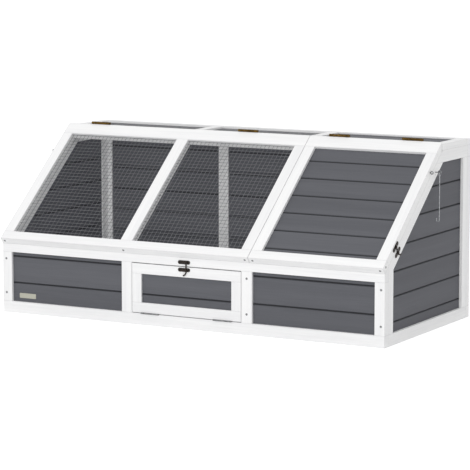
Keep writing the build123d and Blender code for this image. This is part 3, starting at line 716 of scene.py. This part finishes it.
latch_screws = {
    "root": latch_pair(on_the_front("door_latch_keeper"), to_right, -to_back),
    "left_lid": [],
    "right_lid": [],
    "front_door": latch_pair(on_the_front("door_latch_plate"), to_right, -to_back),
}
for side, lid in ((-1, "left_lid"), (1, "right_lid")):
    rail_plate = on_the_lid(side * side_face, latch_rise, 3 * half_lid)
    keeper = on_the_lid(side * side_face, latch_rise, half_lid)
    latch_screws["root"] += latch_pair(rail_plate, up_slope, side * to_right)
    latch_screws[lid] += latch_pair(keeper, up_slope, side * to_right)

zinc_screw = plated_metal("zinc_plated_screw", screw_grey_low, screw_grey, 2 * mm, 0.5, 0.45)
zinc_screws = {
    "frame_screws": (root_screws, "root"),
    "left_lid_screws": (lid_screws(-1, left_lid_edge, left_lid_hinges), "left_lid"),
    "right_lid_screws": (lid_screws(1, right_lid_edge, right_lid_hinges), "right_lid"),
    "door_screws": (door_screws, "front_door"),
}
for node, (places, body) in zinc_screws.items():
    new_piece(f"cross_head_{node}", screws(places), zinc_screw, body, node)
for body, places in latch_screws.items():
    new_piece(f"bronzed_latch_screws_{body}", screws(places), bronzed, body)

# Screw eyes and stays: zinc-plated wire. Each eye is turned round from its own shank, and each stay
# hangs by a ring from the eye on the wall, its hooked end ready for the eye on a lifted lid.
bright_zinc = "#b4b6b9"
bright_zinc_low = "#8a8c8f"
eye_zinc = "#85878a"
eye_zinc_low = "#4c4e51"
bent_sides = 16
lid_eye_ring = 3.6 * mm
lid_eye_wire = 1.2 * mm
rail_eye_ring = 4.5 * mm
rail_eye_wire = 1.25 * mm
eye_shank = 14 * mm
stay_wire = 1.2 * mm
stay_ring = 4.2 * mm
stay_ring_drop = 1.45 * mm
stay_reach = 124 * mm
stay_bend = 4 * mm
stay_tip = 5 * mm
eye_low, eye_high = (np.array(point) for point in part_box("right_lid_eye"))
lid_eye = np.array([eye_high[0] - lid_eye_ring - lid_eye_wire, *(eye_low + eye_high)[1:] / 2])
stay_pivot = joints["right_stay_swing"]
rail_eye = stay_pivot + rail_eye_ring * to_top


def bent_wire(path, normal, radius):
    """One wire along a path that lies in the plane of a normal."""
    path = path[None]
    return tubes(path, np.broadcast_to(normal, path.shape), radius, bent_sides)


def screw_eye(side, centre, ring, wire):
    """A shank that runs out of the wall and on round the ring, 345 degrees of it.

    ring(a) = centre + ring (-cos a, 0, sin a), with a = 0 at the wall."""
    middle = centre * (side, 1, 1)
    turn = np.radians(np.linspace(6, 351, 56))
    round_it = np.stack([-side * np.cos(turn), 0 * turn, np.sin(turn)], -1) * ring + middle
    inward = np.linspace(eye_shank, 0.6 * mm, 8)
    shank = middle - side * (ring + inward)[:, None] * to_right
    return bent_wire(np.concatenate([shank, round_it]), to_back, wire)


def stay(side):
    """A ring in the wall's own plane, a straight shank under it, and a hooked end towards the wall.

    ring(a) = centre + ring (0, sin a, -cos a); the hook is half a circle of 4 mm and a straight tip."""
    pivot = stay_pivot * (side, 1, 1)
    centre = pivot - stay_ring_drop * to_top
    turn = np.radians(np.linspace(0, 352, 56))
    ring = centre + np.stack([0 * turn, np.sin(turn), -np.cos(turn)], -1) * stay_ring
    drops = np.linspace(stay_ring_drop + stay_ring, stay_reach, 24)
    shank = pivot - drops[:, None] * to_top
    bend = np.radians(np.linspace(8, 180, 20))
    across = stay_bend * (1 - np.cos(bend))
    below = stay_reach + stay_bend * np.sin(bend)
    hook = pivot - side * across[:, None] * to_right - below[:, None] * to_top
    rise = np.linspace(1 * mm, stay_tip, 5)
    tip = pivot - side * 2 * stay_bend * to_right - (stay_reach - rise)[:, None] * to_top
    hanging = bent_wire(np.concatenate([shank, hook, tip]), to_back, stay_wire)
    return join([bent_wire(ring, to_right, stay_wire), hanging])


bright_wire = plated_metal("bright_zinc_wire", bright_zinc_low, bright_zinc, 3 * mm, 0.55, 0.35)
dull_eye = plated_metal("dull_zinc_screw_eye", eye_zinc_low, eye_zinc, 3 * mm, 0.5, 0.45)
rail_eyes = join([screw_eye(side, rail_eye, rail_eye_ring, rail_eye_wire) for side in (-1, 1)])
new_piece("turned_rail_eyes", rail_eyes, dull_eye, "root", "rail_eyes")
for side, name in ((-1, "left"), (1, "right")):
    eye = screw_eye(side, lid_eye, lid_eye_ring, lid_eye_wire)
    node = f"{name}_lid_eye"
    new_piece(f"turned_{node}", eye, dull_eye, f"{name}_lid", node)
    node = f"{name}_stay_hook"
    new_piece(f"bent_{name}_stay", stay(side), bright_wire, f"{name}_stay", node)

# The room: a pale floor that the house stands on, a white surround, and one soft lamp in front.
floor_half = 40
floor_white = "#e6e6e6"
floor_lift = 0.5
ambient_level = 0.88
lamp_place = Vector((0.9, -5.8, 2.0))
lamp_aim = Vector((0, 0, 0.25))
lamp_side = 3.2
lamp_watts = 100


def pale_floor():
    """A pale matt floor, which the camera and reflections see lifted to white, less the shadow on it."""
    material, tree, shader, _ = new_material("pale_floor")
    shader.inputs["Base Color"].default_value = linear(floor_white)
    shader.inputs["Roughness"].default_value = 0.9
    path = add_node(tree, "ShaderNodeLightPath")
    seen = add_node(
        tree,
        "ShaderNodeMath",
        {0: path.outputs["Is Camera Ray"], 1: path.outputs["Is Glossy Ray"]},
        operation="MAXIMUM",
    )
    lift = add_node(
        tree, "ShaderNodeMath", {0: seen.outputs[0], 1: floor_lift}, operation="MULTIPLY"
    )
    glow = add_node(tree, "ShaderNodeEmission", {"Strength": lift.outputs[0]})
    both = add_node(tree, "ShaderNodeAddShader", {0: shader.outputs[0], 1: glow.outputs[0]})
    output = next(node for node in tree.nodes if node.type == "OUTPUT_MATERIAL")
    tree.links.new(both.outputs[0], output.inputs["Surface"])
    return material


floor_corners = np.array([(-1, -1, 0), (1, -1, 0), (1, 1, 0), (-1, 1, 0)]) * floor_half
floor_mesh = bpy.data.meshes.new("floor")
floor_mesh.from_pydata(floor_corners.tolist(), [], [(0, 1, 2, 3)])
floor_mesh.materials.append(pale_floor())
floor = bpy.data.objects.new("floor", floor_mesh)
bpy.context.scene.collection.objects.link(floor)

world = bpy.data.worlds.new("surround")
world.use_nodes = True
bpy.context.scene.world = world
surround = world.node_tree
surround.nodes.clear()
path = add_node(surround, "ShaderNodeLightPath")
seen = add_node(
    surround,
    "ShaderNodeMath",
    {0: path.outputs["Is Camera Ray"], 1: path.outputs["Is Glossy Ray"]},
    operation="MAXIMUM",
)
white_light = (1, 1, 1, 1)
ambient = add_node(
    surround, "ShaderNodeBackground", {"Color": white_light, "Strength": ambient_level}
)
backdrop = add_node(surround, "ShaderNodeBackground", {"Color": white_light, "Strength": 1})
mixed = add_node(
    surround,
    "ShaderNodeMixShader",
    {0: seen.outputs[0], 1: ambient.outputs[0], 2: backdrop.outputs[0]},
)
add_node(surround, "ShaderNodeOutputWorld", {"Surface": mixed.outputs[0]})

lamp = bpy.data.objects.new("softbox", bpy.data.lights.new("softbox", "AREA"))
lamp.data.shape = "SQUARE"
lamp.data.size = lamp_side
lamp.data.energy = lamp_watts
lamp.location = lamp_place
lamp.rotation_euler = (lamp.location - lamp_aim).to_track_quat("Z", "Y").to_euler()
bpy.context.scene.collection.objects.link(lamp)
